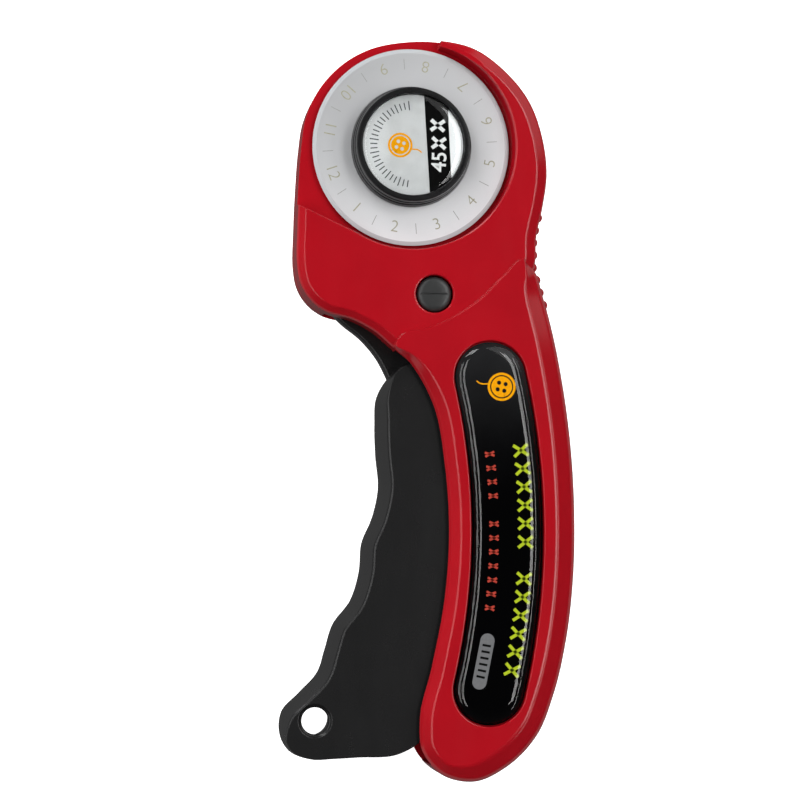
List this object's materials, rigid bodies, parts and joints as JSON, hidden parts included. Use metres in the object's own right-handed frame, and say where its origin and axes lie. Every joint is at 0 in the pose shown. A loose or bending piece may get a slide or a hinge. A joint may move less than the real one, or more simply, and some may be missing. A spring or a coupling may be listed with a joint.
{
  "type": "rotary cutter",
  "caption": "Hand-held rotary fabric cutter: a round blade on a hub, moved past its guard by a squeeze lever, with a push-through lock button and a label inlay in the handle.",
  "frame": {"origin": "under the middle of the whole cutter, on the surface that it lies on", "axes": "+Y along the cutter towards its head and blade, +Z out of its face, so it lies on its back"},
  "size_m": [0.0668, 0.1694, 0.0233],
  "materials": {
    "red_shell": "semi-gloss moulded",
    "black_lever": "fine satin",
    "grey_button": "satin",
    "black_gloss": "gloss",
    "label_black": "gloss print",
    "plain_steel": "zinc plated",
    "blade_steel": "finely brushed",
    "silver_badge": "printed foil",
    "brass_insert": "turned",
    "clear_dome": "clear resin dome"
  },
  "bodies": {
    "body": {"front_shell": "red_shell", "back_shell": "red_shell", "label_plate": "label_black", "label_dome": "clear_dome", "shell_screw_1": "plain_steel", "shell_screw_2": "plain_steel", "shell_screw_3": "plain_steel", "shell_screw_4": "plain_steel", "shell_screw_5": "plain_steel", "pivot_pin": "plain_steel", "return_spring": "plain_steel", "detent_wire": "plain_steel"},
    "lever": {"trigger_lever": "black_lever", "hub_bolt": "plain_steel", "blade_bushing": "plain_steel", "hub_cap": "black_gloss", "hub_badge": "silver_badge", "hub_lens": "clear_dome"},
    "blade_disc": {"blade": "blade_steel"},
    "washer": {"spring_washer": "plain_steel"},
    "nut": {"nut_knob": "black_gloss", "nut_insert": "brass_insert"},
    "lock": {"lock_button": "grey_button"}
  },
  "joints": [
    {"name": "squeeze", "type": "hinge", "parent": "body", "child": "lever", "pos_m": [-0.01857, 0.03216, 0.011], "axis": [0, 0, 1], "range_deg": [0, 12], "stiffness_Nm_per_rad": 0.2, "springref_deg": -17.19, "deforming": ["return_spring"]},
    {"name": "blade_spin", "type": "hinge", "parent": "lever", "child": "blade_disc", "pos_m": [-0.00407, 0.05966, 0.01755], "axis": [0, 0, 1], "continuous": true},
    {"name": "lock_push", "type": "slide", "parent": "body", "child": "lock", "axis": [0, 0, 1], "range_m": [0, 0.003], "deforming": ["detent_wire"]},
    {"name": "washer_release", "type": "slide", "parent": "lever", "child": "washer", "axis": [0, 0, -1], "range_m": [0, 0.0008]},
    {"name": "nut_turn", "type": "hinge", "parent": "washer", "child": "nut", "pos_m": [-0.00407, 0.05966, 0.0025], "axis": [0, 0, -1], "range_deg": [0, 360]}
  ],
  "couplings": [
    {"joint": "washer_release", "follows": "nut_turn", "m_per_rad": 0.000127}
  ]
}
